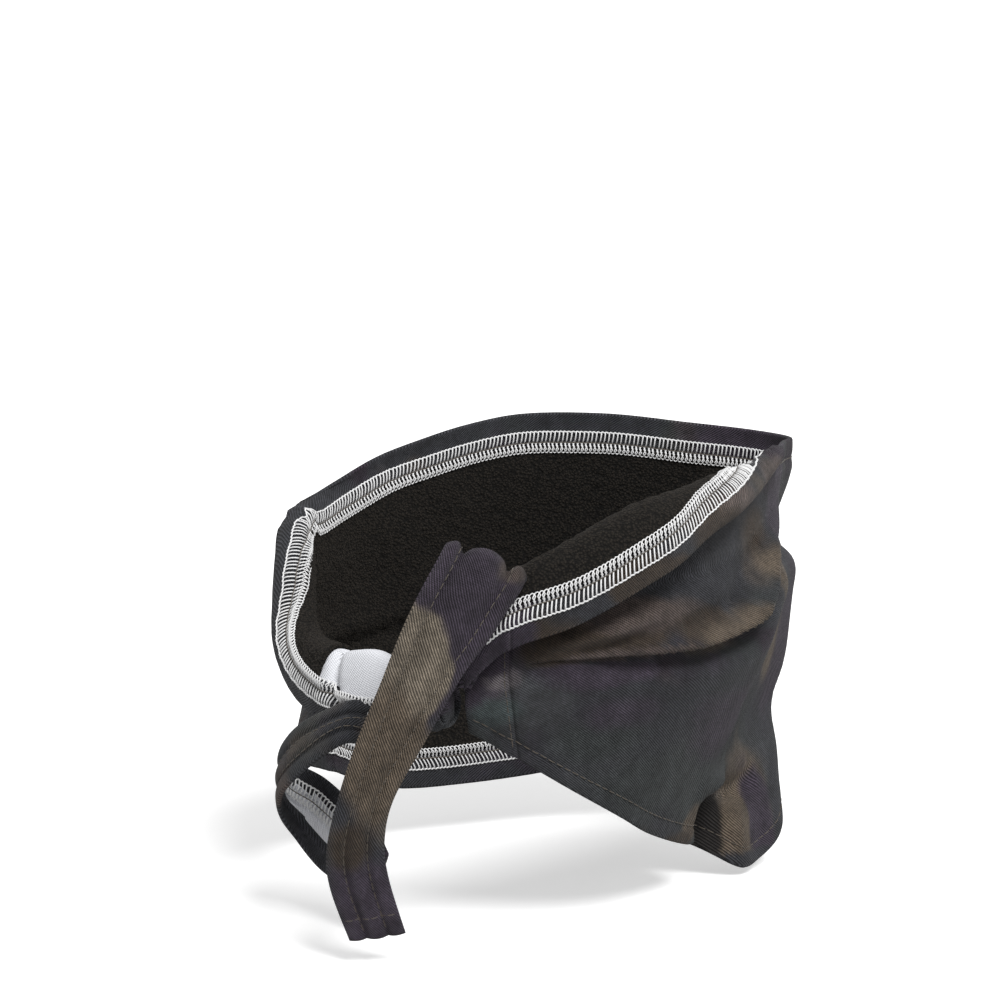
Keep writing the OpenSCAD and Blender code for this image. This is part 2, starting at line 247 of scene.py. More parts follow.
def profile(s, tucked):
    """Control points of the cloth's cross-section at the stations s, from its top edge to its hem.
    tucked is 1 for the shell, and 0 for the liner, which doesn't follow the shell under the lip."""
    top, low, out = curve(TOP, s), curve(BOTTOM, s), outward(s)
    lip_out, lip_z, tuck, bulge, cuff, cuff_out = (
        curve(v, s) for v in (LIP_OUT, LIP_Z, TUCK, BULGE, CUFF, CUFF_OUT))
    turned = smooth(cuff / 3)
    height = top[:, 2] - lip_z
    rows = []

    def upper_row(o, z):
        rows.append(top * (1, 1, 0) + out * o[:, None] + np.stack([0 * s, 0 * s, z], 1))

    folded = [
        (cuff_out, -cuff), (cuff_out + 0.6, -0.66 * cuff), (0.85 * cuff_out, -0.3 * cuff),
        (0.45 * cuff_out, -0.04 * cuff), (0.3 + 0 * s, -0.4 + 0 * s), (-0.5 + 0 * s, -0.2 * height)]
    upright = [(0 * s, -f * height) for f in (0, 0.08, 0.16, 0.24, 0.32, 0.4)]
    for (fo, fz), (uo, uz) in zip(folded, upright):
        upper_row(turned * fo + (1 - turned) * uo, top[:, 2] + turned * fz + (1 - turned) * uz)
    under = lip_out - tuck
    q = smooth(tuck / 3) * tucked
    lip = lip_out * tucked + under * (1 - tucked)
    upper_row(0.25 * lip - 1.2 * turned, top[:, 2] - 0.58 * height)
    upper_row(0.7 * lip, top[:, 2] - 0.8 * height)
    upper_row(lip, lip_z + 1.5)
    upper_row(lip - 1.5 * q, lip_z - 0.5 - 1.5 * (1 - q))
    upper_row(lip - (lip - under) * q, lip_z + 0.6 * tuck * q - 3.5 * (1 - q))
    upper_row(under + 0.5 * q, lip_z - 4 - 2 * (1 - q))
    base = rows[-1]
    for f, b in ((0.1, 1.2), (0.22, 1.15), (0.45, 0.6), (0.75, 0.12), (1.0, 0.0)):
        rows.append(base + (low - base) * f + out * (bulge * b)[:, None])
    return np.array(rows)


def band_cloth(first, last, tucked=1.0):
    """The band's surface between two stations. Its lower is 1 on the layer below the lip, its turned
    is 1 on the part that has turned over, and its knit is the distance that the knit is drawn by."""
    fine = np.linspace(first, last, int((last - first) * 40) + 1)
    guide = 0.5 * (curve(TOP, fine) + curve(BOTTOM, fine))
    distance = run_along(guide)
    columns = int(distance[-1] / CELL)
    s = np.interp(np.linspace(0, distance[-1], columns + 1), distance, fine)
    control = profile(s, tucked)
    end = len(control) - 1
    dense = curve(control.reshape(len(control), -1), np.linspace(0, end, PROFILE_POINTS))
    lines = dense.reshape(PROFILE_POINTS, len(s), 3).transpose(1, 0, 2)
    points, share = resample(lines, edge_rows(BAND_ROWS))
    cloth = Cloth(points)
    cloth.station = s
    cloth.lower = smooth((share * end - LIP_ROW) / 2)
    cloth.turned = 1 - smooth(share * end - CREST_ROW)
    cloth.knit = cloth.across * cloth.turned - points[..., 2] * (1 - cloth.turned)
    return cloth


def moved(cloth, height, outwards):
    """A band cloth moved along its normals by height and away from the head by outwards, with its
    stations and knit kept."""
    way = outward(cloth.station)[:, None]
    out = Cloth(cloth.points + cloth.normals * height[..., None] + way * outwards[..., None])
    out.normals *= np.sign(np.sum(out.normals * cloth.normals))
    for key in ("station", "knit", "lower", "turned"):
        setattr(out, key, getattr(cloth, key))
    return out


# ---------------------------------------------------------------- meshes

def new_mesh(name, verts, faces, materials, face_material=None, uv=None, colour=None):
    """An object from points in mm, with its materials, its cloth coordinates and its print, painted shade and
    painted highlights included.
    """
    mesh = bpy.data.meshes.new(name)
    mesh.from_pydata(np.asarray(verts) * MM, [], [tuple(int(i) for i in f) for f in faces])
    for m in materials:
        mesh.materials.append(m)
    if face_material is not None:
        mesh.polygons.foreach_set("material_index", np.asarray(face_material, np.int32))
    mesh.polygons.foreach_set("use_smooth", np.ones(len(mesh.polygons), bool))
    corner = np.empty(len(mesh.loops), np.int32)
    mesh.loops.foreach_get("vertex_index", corner)
    if uv is not None:
        layer = mesh.uv_layers.new(name="cloth")
        layer.data.foreach_set("uv", np.asarray(uv, np.float32)[corner].ravel())
    if colour is not None:
        layer = mesh.attributes.new("print", "FLOAT_COLOR", "POINT")
        rgba = np.concatenate([colour, np.ones((len(colour), 1))], 1)
        layer.data.foreach_set("color", rgba.astype(np.float32).ravel())
    mesh.validate()
    obj = bpy.data.objects.new(name, mesh)
    bpy.context.scene.collection.objects.link(obj)
    return obj


ROUND = (40, 90, 140)   # degrees of the points that round a cut or folded edge


def cloth_mesh(name, cloth, materials, outer, inner, printed=None, reverse=None):
    """A closed sheet between outer[column, row] and inner[column, row] over the cloth, rounded at its
    edges. reverse(across, total) says which part of the inner side shows material 1."""
    columns, rows = cloth.points.shape[:2]
    face_out = cloth.points + cloth.normals * outer[..., None]
    face_in = cloth.points + cloth.normals * inner[..., None]

    def rounded(row, towards):
        middle = 0.5 * (face_out[:, row] + face_in[:, row])
        half = 0.5 * (face_out[:, row] - face_in[:, row])
        reach = np.linalg.norm(half, axis=1, keepdims=True)
        side = towards * cloth.down[:, row]
        turns = [math.radians(a) for a in ROUND]
        return np.stack([middle + half * math.cos(a) + side * reach * math.sin(a) for a in turns], 1)

    loop = np.concatenate([face_out, rounded(-1, 1), face_in[:, ::-1], rounded(0, -1)[:, ::-1]], axis=1)
    size = loop.shape[1]
    index = np.arange(columns * size).reshape(columns, size)
    a, b = index[:-1], index[1:]
    quads = np.stack([a, np.roll(a, -1, 1), np.roll(b, -1, 1), b], -1).reshape(-1, 4)
    across = cloth.across
    run = np.broadcast_to(cloth.run[:, None], across.shape)
    extra = len(ROUND)

    def around(values):
        tail = np.repeat(values[:, -1:], extra, 1)
        head = np.repeat(values[:, :1], extra, 1)
        return np.concatenate([values, tail, values[:, ::-1], head], axis=1)

    on_inner = np.zeros(size, bool)
    on_inner[rows + extra:2 * rows + extra - 1] = True
    kind = np.zeros((columns - 1, size), int)
    if reverse is not None:
        shows = reverse(around(across), across[:, -1:])[:-1]
        kind[shows & on_inner[None, :]] = 1
    faces = [tuple(f) for f in quads]
    kinds = list(kind.ravel())
    for c in (0, columns - 1):
        ring = list(index[c])
        cap = [(ring[r], ring[r + 1], ring[2 * rows + extra - 2 - r], ring[2 * rows + extra - 1 - r])
               for r in range(rows - 1)]
        cap.append(tuple(ring[rows - 1:rows + extra + 1]))
        cap.append(tuple(ring[2 * rows + extra - 1:]) + (ring[0],))
        faces += [f[::-1] for f in cap] if c == 0 else cap
        kinds += [0] * len(cap)
    knit = cloth.knit if hasattr(cloth, "knit") else across
    uv = np.stack([around(run), around(knit)], -1).reshape(-1, 2)
    verts = loop.reshape(-1, 3)
    # printed gives the print at the points, painted shade and painted highlights included
    colour = None if printed is None else printed(verts)
    return new_mesh(name, verts, faces, materials, kinds, uv, colour)


def tubes(paths, ups, radius, sides=5):
    """Closed round tubes along paths[tube, k]; ups are the directions that they lie flat against."""
    paths, ups = np.asarray(paths, float), np.asarray(ups, float)
    count, length = paths.shape[:2]
    tangent = unit(np.gradient(paths, axis=1))
    side = unit(np.cross(tangent, ups))
    up = np.cross(side, tangent)
    angles = np.arange(sides) * 2 * math.pi / sides
    ring = (side[:, :, None] * np.cos(angles)[None, None, :, None]
            + up[:, :, None] * np.sin(angles)[None, None, :, None]) * radius
    verts = (paths[:, :, None] + ring).reshape(-1, 3)
    index = np.arange(count * length * sides).reshape(count, length, sides)
    a, b = index[:, :-1], index[:, 1:]
    quads = np.stack([a, np.roll(a, -1, 2), np.roll(b, -1, 2), b], -1).reshape(-1, 4)
    faces = [tuple(f) for f in quads]
    faces += [tuple(r[::-1]) for r in index[:, 0]]
    faces += [tuple(r) for r in index[:, -1]]
    return verts, faces


def joined(name, parts, materials, kinds):
    """One object from several (verts, faces), each with the material number in kinds."""
    verts, faces, kind, base = [], [], [], 0
    for (v, f), k in zip(parts, kinds):
        verts.append(v)
        faces += [tuple(i + base for i in face) for face in f]
        kind += [k] * len(f)
        base += len(v)
    return new_mesh(name, np.concatenate(verts), faces, materials, kind)


# ---------------------------------------------------------------- materials

def material(name, roughness):
    m = bpy.data.materials.new(name)
    m.use_nodes = True
    tree = m.node_tree
    shader = tree.nodes["Principled BSDF"]
    shader.inputs["Roughness"].default_value = roughness
    shader.inputs["Specular IOR Level"].default_value = 0.25
    return m, tree, shader


def add(tree, kind, **values):
    node = tree.nodes.new(kind)
    for key, value in values.items():
        if hasattr(node, key):
            setattr(node, key, value)
        else:
            node.inputs[key.replace("_", " ")].default_value = value
    return node


def maths(tree, operation, a, b=None):
    node = tree.nodes.new("ShaderNodeMath")
    node.operation = operation
    for i, v in enumerate((a, b)):
        if v is None:
            continue
        if isinstance(v, (int, float)):
            node.inputs[i].default_value = v
        else:
            tree.links.new(v, node.inputs[i])
    return node.outputs[0]


def knit_height(tree, wale=0.68, course=0.5, slope=0.55):
    """Height of a fine slanted rib: stitches in rows that run diagonally over the cloth coordinates."""
    uv = add(tree, "ShaderNodeUVMap", uv_map="cloth")
    split = add(tree, "ShaderNodeSeparateXYZ")
    tree.links.new(uv.outputs[0], split.inputs[0])
    wobble = add(tree, "ShaderNodeTexNoise", Scale=0.06, Detail=2.0)
    tree.links.new(uv.outputs[0], wobble.inputs["Vector"])
    drift = maths(tree, "MULTIPLY", wobble.outputs[0], 1.2)
    u, v = split.outputs[0], split.outputs[1]
    lines = maths(tree, "ADD", maths(tree, "SUBTRACT", maths(tree, "MULTIPLY", u, slope),
                                     maths(tree, "MULTIPLY", v, math.sqrt(1 - slope ** 2))), drift)
    rib = maths(tree, "SINE", maths(tree, "MULTIPLY", lines, 2 * math.pi / wale))
    stitches = maths(tree, "ADD", maths(tree, "MULTIPLY", u, math.sqrt(1 - slope ** 2)),
                     maths(tree, "MULTIPLY", v, slope))
    loop = maths(tree, "SINE", maths(tree, "MULTIPLY", stitches, 2 * math.pi / course))
    return maths(tree, "ADD", rib, maths(tree, "MULTIPLY", loop, 0.45))


def mixed(tree, factor, a, b, blend="MIX"):
    """A mixed colour; a and b are colours or sockets."""
    node = tree.nodes.new("ShaderNodeMix")
    node.data_type = "RGBA"
    node.blend_type = blend
    for socket, v in ((node.inputs[0], factor), (node.inputs[6], a), (node.inputs[7], b)):
        if isinstance(v, (int, float)):
            socket.default_value = v
        elif isinstance(v, tuple):
            socket.default_value = v + (1.0,)
        else:
            tree.links.new(v, socket)
    return node.outputs[2]


def shaded(tree, colour, tone):
    """A colour multiplied by a grey tone."""
    grey = add(tree, "ShaderNodeCombineColor")
    for i in range(3):
        tree.links.new(tone, grey.inputs[i])
    return mixed(tree, 1.0, colour, grey.outputs[0], "MULTIPLY")


def bump(tree, height, shader, distance):
    node = add(tree, "ShaderNodeBump", Strength=1.0, Distance=distance)
    tree.links.new(height, node.inputs["Height"])
    tree.links.new(node.outputs[0], shader.inputs["Normal"])


def camo_knit():
    """Printed stretch knit: the soft print, with its painted shade and painted highlights, darker between the
    ribs, with a fine grain.
    """
    m, tree, shader = material("camo_knit", 0.62)
    # the print attribute holds the print with its painted shade and painted highlights
    colour = add(tree, "ShaderNodeAttribute", attribute_name="print").outputs["Color"]
    height = knit_height(tree)
    shade = maths(tree, "ADD", maths(tree, "MULTIPLY", height, 0.5), 0.84)
    grain = add(tree, "ShaderNodeTexNoise", Scale=900.0, Detail=3.0)
    coordinates = add(tree, "ShaderNodeTexCoord")
    tree.links.new(coordinates.outputs["Object"], grain.inputs["Vector"])
    speckle = maths(tree, "ADD", maths(tree, "MULTIPLY", grain.outputs[0], 1.2), 0.4)
    tone = maths(tree, "MULTIPLY", shade, speckle)
    tree.links.new(shaded(tree, colour, tone), shader.inputs["Base Color"])
    shader.inputs["Sheen Weight"].default_value = 0.05
    shader.inputs["Sheen Roughness"].default_value = 0.4
    bump(tree, height, shader, 0.00014)
    return m


def white_knit():
    """The knit's unprinted reverse."""
    m, tree, shader = material("white_knit", 0.8)
    height = knit_height(tree, wale=0.9, course=0.6, slope=0.95)
    shade = maths(tree, "ADD", maths(tree, "MULTIPLY", height, 0.04), 0.96)
    tree.links.new(shaded(tree, (0.8, 0.81, 0.85), shade), shader.inputs["Base Color"])
    bump(tree, height, shader, 0.00008)
    return m


def black_fleece():
    """Micro-fleece: a pebbly pile of small dark tufts with browner tips."""
    m, tree, shader = material("black_fleece", 0.95)
    coordinates = add(tree, "ShaderNodeTexCoord")
    tufts = add(tree, "ShaderNodeTexVoronoi", Scale=1250.0, Randomness=1.0)
    fuzz = add(tree, "ShaderNodeTexNoise", Scale=1800.0, Detail=4.0, Roughness=0.7)
    for node in (tufts, fuzz):
        tree.links.new(coordinates.outputs["Object"], node.inputs["Vector"])
    mound = maths(tree, "SUBTRACT", 1.0, maths(tree, "MULTIPLY", tufts.outputs["Distance"], 1.3))
    height = maths(tree, "ADD", mound, maths(tree, "MULTIPLY", fuzz.outputs[0], 0.7))
    tips = maths(tree, "MULTIPLY", maths(tree, "MAXIMUM", maths(tree, "SUBTRACT", height, 0.55), 0.0), 1.6)
    colour = mixed(tree, tips, (0.003, 0.0026, 0.0022), (0.022, 0.018, 0.014))
    tree.links.new(colour, shader.inputs["Base Color"])
    shader.inputs["Sheen Weight"].default_value = 0.05
    shader.inputs["Sheen Tint"].default_value = (0.6, 0.5, 0.4, 1.0)
    bump(tree, height, shader, 0.0005)
    return m


def thread(name, dark, light):
    """Spun thread: finely uneven, with a little sheen."""
    m, tree, shader = material(name, 0.7)
    coordinates = add(tree, "ShaderNodeTexCoord")
    noise = add(tree, "ShaderNodeTexNoise", Scale=3500.0, Detail=3.0)
    tree.links.new(coordinates.outputs["Object"], noise.inputs["Vector"])
    tree.links.new(mixed(tree, noise.outputs[0], dark, light), shader.inputs["Base Color"])
    shader.inputs["Sheen Weight"].default_value = 0.2
    bump(tree, noise.outputs[0], shader, 0.0001)
    return m


CAMO = camo_knit()
WHITE = white_knit()
BLACK = black_fleece()
WHITE_THREAD = thread("white_thread", (0.62, 0.62, 0.62), (0.92, 0.92, 0.92))
TAN_THREAD = thread("tan_thread", (0.035, 0.03, 0.024), (0.15, 0.125, 0.10))

# ---------------------------------------------------------------- the print, with painted shade and painted
# highlights

# ---------------------------------------------------------------- the print

SLATE = (0.035, 0.036, 0.042)
PURPLE = (0.048, 0.038, 0.054)
DEEP_PURPLE = (0.028, 0.020, 0.030)
GREEN = (0.040, 0.045, 0.046)
TEAL = (0.066, 0.085, 0.086)
PALE_SLATE = (0.056, 0.058, 0.064)
PALE_PURPLE = (0.082, 0.070, 0.088)
BROWN = (0.120, 0.093, 0.068)
TAN = (0.185, 0.155, 0.120)
DARK_BROWN = (0.052, 0.038, 0.028)
PINK_BROWN = (0.098, 0.076, 0.068)
# painted highlight: the light grey spot on the near wing
PAINTED_HIGHLIGHT_GREY = (0.19, 0.17, 0.18)
# painted shade: the near-black that darkens the hollow beside the lobe
HOLLOW_PAINTED_SHADE = (0.014, 0.012, 0.011)

# Soft patches of colour: centre, radius across and softness in mm, and colour. Most are print; the ones noted
# below are painted shade and painted highlights.
PATCHES = [
    # upper layer, from the tie to the nose
    ((-70, 0, -12), (22, 60, 26), 18, SLATE),
    # painted shade: these two dark brown patches darken the valley under the cuff, above the lip
    ((-66, 34, -30), (10, 16, 10), 8, DARK_BROWN),
    ((-70, 16, -31), (12, 24, 5), 5, DARK_BROWN),
    # painted highlight: the print's pink-brown laid along the crest of the ridge above the lip
    ((-72, 2, -25), (12, 20, 5), 6, PINK_BROWN),
    # painted shade in the valley above the main ridge
    ((-75, -20, -30), (10, 14, 5), 5, DARK_BROWN),
    # painted highlight along the lip's roll
    ((-73, 6, -36), (10, 30, 2), 2, PINK_BROWN),
    ((-69, -28, -12), (14, 18, 8), 8, SLATE),
    ((-78, -26, 3), (8, 26, 9), 8, PINK_BROWN),
    # the print's brown, laid along the crest of the main ridge as a painted highlight
    ((-72, -30, -36), (12, 18, 4.5), 4, BROWN),
    ((-68, -44, -33), (9, 13, 5), 5, BROWN),
    ((-56, -64, -19), (9, 11, 5), 6, BROWN),
    # painted shade at the nose end of the valley above the main ridge
    ((-58, -58, -8), (10, 10, 7), 7, DARK_BROWN),
    ((-44, -78, -13), (9, 9, 6), 5, PURPLE),
    ((-60, -64, 9), (10, 14, 6), 7, PINK_BROWN),
    # the turned cuff's hem
    ((-83, 8, -12), (8, 20, 8), 4, DARK_BROWN),
    ((-80, -18, 0), (8, 14, 7), 5, DARK_BROWN),
    # chin
    ((-38, -86, -29), (14, 14, 9), 6, BROWN),
    ((-43, -80, -41), (14, 14, 4.5), 4, DEEP_PURPLE),
    ((-56, -57, -42), (10, 16, 4), 4, DEEP_PURPLE),
    ((-35, -88, -54), (7, 9, 16), 6, BROWN),
    # lower layer
    ((-62, -10, -64), (22, 56, 24), 14, SLATE),
    ((-66, 20, -42), (12, 30, 4), 5, PURPLE),
    ((-60, 12, -66), (12, 14, 12), 10, PALE_SLATE),
    ((-62, -13, -80), (16, 26, 12), 14, GREEN),
    ((-66, 14, -62), (12, 16, 8), 10, GREEN),
    ((-57, -45, -66), (16, 20, 12), 12, PURPLE),
    ((-64, 6, -54), (10, 14, 6), 8, PURPLE),
    ((-60, -26, -56), (10, 12, 7), 8, PURPLE),
    ((-52, -38, -87), (12, 12, 7), 6, GREEN),
    ((-38, -74, -89), (6, 6, 5), 4, PINK_BROWN),
    ((-47, -38, -100), (6, 6, 7), 4, BROWN),
    ((-50, -28, -106), (9, 12, 5), 5, DARK_BROWN),
    # the hollow, whose near-black patch is painted shade, and the lobe at the front
    ((-34, -54, -107), (13, 8.5, 16), 3, HOLLOW_PAINTED_SHADE),
    ((-37, -79, -105), (9, 8, 18), 4, PURPLE),
    ((-38, -68.5, -106), (8, 6, 15), 3, BROWN),
    ((-32, -91, -104), (8, 5.5, 20), 4, SLATE),
    ((-40, -70, -121), (12, 22, 4.5), 3, SLATE),
    # near wing
    ((-57, 36, -50), (12, 16, 10), 8, PALE_SLATE),
    ((-50, 49, -45), (10, 9, 8), 6, PALE_PURPLE),
    # painted highlight on the near wing
    ((-55, 44, -41), (7, 6, 4), 4, PAINTED_HIGHLIGHT_GREY),
    ((-53, 43, -52), (9, 7, 5), 5, TEAL),
    # near tie
    ((-56, 62, -22), (22, 26, 30), 4, PURPLE),
    ((-51, 73, -33), (12, 12.5, 18), 2.5, TAN),
    ((-48, 80, -62), (12, 13, 22), 8, BROWN),
    ((-42, 84, -108), (14, 14, 17), 8, PURPLE),
    ((-64, 55, -27), (8, 8.5, 15), 2.5, PURPLE),
    ((-66, 45, -7), (5, 5, 4), 3, PINK_BROWN),
    ((-42, 88, -88), (8, 6, 7), 5, DARK_BROWN)]


def camo_and_painted_light(points):
    """The print at points in mm, with painted shade and painted highlights among its patches: wide random
    patches all round, then the patches placed above.
    """
    p = points * (1.0, 1.0, 0.8)
    colour = np.broadcast_to(np.array(SLATE), p.shape).copy()
    layers = [
        (GREEN, 62, 3, 0.0, 0.8), (PURPLE, 52, 5, 0.1, 0.7), (DEEP_PURPLE, 40, 7, 0.6, 0.6),
        (PALE_SLATE, 34, 17, 0.7, 0.7), (BROWN, 48, 11, 0.5, 1.0), (PINK_BROWN, 36, 13, 0.7, 0.9)]
    for tone, size, seed, start, width in layers:
        drift = soft_noise(p, size, seed) + 0.25 * soft_noise(p, size / 4, seed + 50)
        share = smooth((drift - start) / width)
        colour += (np.array(tone) - colour) * share[:, None]
    edge = soft_noise(p, 14, 21) + 0.5 * soft_noise(p, 5, 22)
    for centre, radius, blur, tone in PATCHES:
        distance = np.linalg.norm((points - np.array(centre, float)) / np.array(radius, float), axis=1)
        reach = np.mean(radius)
        share = smooth(((1 - distance) * reach + 0.10 * reach * edge) / blur + 0.5)
        colour += (np.array(tone) - colour) * share[:, None]
    mottle = 0.16 * soft_noise(p, 9, 31) + 0.13 * soft_noise(p, 3.5, 33) + 0.08 * soft_noise(p, 1.8, 35)
    return colour * np.maximum(1 + mottle, 0.4)[:, None]


# ---------------------------------------------------------------- folds of the cloth

# Soft ridges (and, with a height below 0, valleys) of the layer above the lip and of the one below
# it: height, half width, and points near the cloth.
UPPER_FOLDS = [
    # a valley above the lip, the ridge over it, and the fold that rises to the nose
    (-2.8, 2.4, [(-64, 33, -35), (-67, 26, -34), (-72, 14, -33), (-75, 2, -31), (-76, -14, -29)]),
    (3.2, 3.6, [(-66, 38, -33), (-67, 28, -31), (-71, 15, -28), (-73, 3, -24), (-72, -12, -20),
                (-70, -26, -15)]),
    (-4.4, 4.0, [(-77, -10, -30), (-75, -22, -29), (-71, -36, -26), (-65, -48, -18), (-57, -60, -10)]),
    (1.4, 1.8, [(-76, -20, -32), (-72, -34, -26), (-65, -46, -19), (-60, -53, -10)]),
    (4.2, 3.6, [(-77, -10, -36), (-75, -26, -37), (-70, -42, -35), (-62, -55, -27), (-54, -66, -17),
                (-48, -73, -13)]),
    # the white lobes of the far wing's turned edge meet in a crease
    (2.5, 2.2, [(-3, 62, -39), (-4, 64, -42), (-6, 67, -47), (-9, 69, -52), (-14, 69, -57)])]
LOWER_FOLDS = [
    (-3.0, 4.5, [(-66, -34, -42), (-58, -52, -41), (-48, -68, -34), (-40, -80, -26)]),
    # lower front: a waist, a shelf, the hollow under it, and the lobe that hangs from it
    (-6.0, 10.0, [(-50, -62, -80), (-43, -76, -78), (-35, -92, -76), (-27, -102, -75), (-16, -108, -74)]),
    (4.0, 4.5, [(-48, -38, -88), (-45, -46, -89), (-43, -58, -90), (-40, -70, -88), (-37, -78, -84)]),
    (-6.0, 4.0, [(-46, -42, -98), (-42, -50, -98), (-40, -60, -98), (-37, -71, -97), (-34, -80, -94)]),
    (-15.0, 5.5, [(-42, -50, -93), (-42, -51, -98), (-39, -54, -104), (-37, -55, -110), (-37, -56, -130)]),
    (2.5, 6.5, [(-38, -68, -99), (-38, -68, -104), (-39, -68, -112), (-39, -68, -122), (-39, -68, -140)]),
    # near wing
    (0.9, 3.5, [(-46, 52, -38), (-53, 44, -42), (-60, 36, -44)])]


def fold_heights(cloth):
    """How far the folds move each point of the cloth."""
    flat = cloth.points.reshape(-1, 3)
    height = np.zeros(cloth.across.shape)
    for folds, share in ((UPPER_FOLDS, 1 - cloth.lower), (LOWER_FOLDS, cloth.lower)):
        for rise, width, points in folds:
            line = curve(points, np.linspace(0, len(points) - 1, 40))
            taper = np.sin(np.linspace(0, math.pi, 40)) ** 0.6
            gap = np.linalg.norm(flat[:, None] - line[None], axis=-1)
            near = np.argmin(gap, axis=1)
            lift = rise * taper[near] * np.exp(-(gap[np.arange(len(flat)), near] / width) ** 2)
            height += lift.reshape(height.shape) * share
    return height


def hem_heights(cloth):
    """The dip along the needle stitches of both hems, with small puckers beside it."""
    run = cloth.run[:, None]
    height = np.zeros(cloth.across.shape)
    for distance in (cloth.across, cloth.total[:, None] - cloth.across):
        height -= 0.35 * np.exp(-((distance - HEM) / 1.3) ** 2)
        pucker = np.sin(run * 2 * math.pi / 5.5 + 1.3 * np.sin(run / 9))
        height += 0.12 * pucker * np.exp(-((distance - HEM) / 4.0) ** 2)
    return height


def seam_heights(cloth):
    """A side seam: a thin groove, with the seam allowance pressed to the wing's side of it."""
    height = np.zeros(cloth.across.shape)
    for station, side in ((NEAR_SEAM, -1), (FAR_SEAM, 1)):
        run = np.interp(station, cloth.station, cloth.run)
        off = (cloth.run - run)[:, None] * side
        height += 0.45 * smooth(off / 1.5) * (1 - smooth((off - 5.0) / 1.5))
        height -= 0.5 * np.exp(-(off / 1.2) ** 2)
    return height


def small_wrinkles(cloth):
    """Slight unevenness that any worn cloth has."""
    return 0.35 * soft_noise(cloth.points.reshape(-1, 3), 30, 41).reshape(cloth.across.shape)


# ---------------------------------------------------------------- pieces of the band

def shell_layers(cloth):
    """Outer and inner heights of the shell: doubled by the turned allowance along both hems."""
    edge = np.minimum(cloth.across, cloth.total[:, None] - cloth.across)
    inner = -SHELL - PLY * smooth((ALLOWANCE - edge) / 0.8)
    return np.zeros(edge.shape), inner


def allowance_end(across, total):
    """True where the reverse isn't covered by a turned allowance."""
    return (across > ALLOWANCE) & (across < total - ALLOWANCE)


def shell_piece(name, cloth, lined=False):
    """Printed knit with its turned hems. Its reverse is white, or printed too if a liner hides it."""
    outer, inner = shell_layers(cloth)
    reverse = None if lined else allowance_end
    return cloth_mesh(name, cloth, [CAMO, WHITE], outer, inner, camo_and_painted_light, reverse)


def fleece_piece(name, cloth):
    """The liner: its edges lie under the looper threads, and its pile is uneven."""
    far_edge = cloth.total - LINER_EDGE
    rows = []
    for c, line in enumerate(cloth.points):
        at = np.linspace(LINER_EDGE, max(far_edge[c], LINER_EDGE + 2), LINER_ROWS)
        rows.append([[np.interp(d, cloth.across[c], line[:, k]) for k in range(3)] for d in at])
    inner_cloth = Cloth(np.array(rows))
    pile = 0.22 * np.random.default_rng(5).normal(size=inner_cloth.across.shape)
    outer = np.full(inner_cloth.across.shape, -SHELL - 0.1)
    inner = outer - FLEECE + pile * 0.8
    return cloth_mesh(name, inner_cloth, [BLACK], outer, inner)


def ladder(name, cloth, first, last, near, far, lift, seed, over=0.0):
    """The looper side of a coverstitch: an edge rail, slanted bars, then dense loops, whose ends
    climb by over mm where they cross the liner's edge."""
    way = 1 if near >= 0 else -1
    width = abs(far - near)

    def at(f):
        return near + way * f * width

    pitch = 1.42
    normal = cloth.normal_line(at(0.5)) * (1 if lift > 0 else -1)
    q = even(cloth.line(at(0.5), lift), pitch, first, last)
    rng = np.random.default_rng(seed)
    q = q + rng.normal(size=len(q)) * 0.03
    step = np.gradient(q)

    def points(f, shift=0.0, height=0.0):
        where = q + shift * step
        return pick(cloth.line(at(f), lift), where) + pick(normal, where) * height

    def bars(stops, radius, sides=5):
        path = np.stack([points(*s) for s in stops], 1)
        up = np.repeat(pick(normal, q)[:, None], path.shape[1], 1)
        return tubes(path, up, radius, sides)

    def rail(f, radius, wave, height):
        dense = np.linspace(q[0], q[-1], len(q) * 4)
        phase = np.interp(dense, q, np.arange(len(q))) * 2 * math.pi
        base = cloth.line(at(f), lift)
        side = unit(cloth.line(at(f + 0.02), lift) - base)
        path = pick(base, dense) + pick(side, dense) * (wave * np.sin(phase))[:, None]
        path = path + pick(normal, dense) * height
        return tubes(path[None], pick(normal, dense)[None], radius, 6)

    parts = [
        rail(0.02, 0.27, 0.16, 0.2),
        bars([(0.0, 0.0, 0.2), (0.18, 0.12, 0.4), (0.36, 0.26, 0.4), (0.52, 0.38, 0.15)], 0.26),
        rail(0.53, 0.15, 0.05, 0.4),
        bars([(0.52, 0.4, 0.15), (0.66, 0.8, 0.5), (0.82, 0.35, 0.5 + over), (0.98, 0.85, 0.2 + over)], 0.23),
        bars([(0.54, 0.9, 0.2), (0.7, 0.45, 0.55), (0.86, 0.95, 0.5 + over), (1.0, 0.5, 0.2 + over)], 0.21),
        rail(0.99, 0.2, 0.2, 0.2 + over)]
    return joined(name, parts, [WHITE_THREAD, TAN_THREAD], [0, 0, 1, 0, 0, 0])


def capsules(base, normal, first, last, radius=0.16):
    """Needle stitches: short thin capsules end to end along a line, each sunk at its ends."""
    q = even(base, STITCH, first, last)
    stops = (0.08, 0.14, 0.3, 0.5, 0.7, 0.82, 0.88)
    rise = (-0.3, 0.0, 0.12, 0.16, 0.12, 0.0, -0.3)
    start, span = q[:-1], np.diff(q)
    path = np.stack([pick(base, start + span * f) + pick(normal, start + span * f) * h
                     for f, h in zip(stops, rise)], 1)
    up = np.stack([pick(normal, start + span * f) for f in stops], 1)
    return tubes(path, up, radius, 5)


def stitch_line(cloth, distance, first, last):
    """Needle stitches along the cloth at a distance from one edge."""
    return capsules(cloth.line(distance, 0.0), cloth.normal_line(distance), first, last)


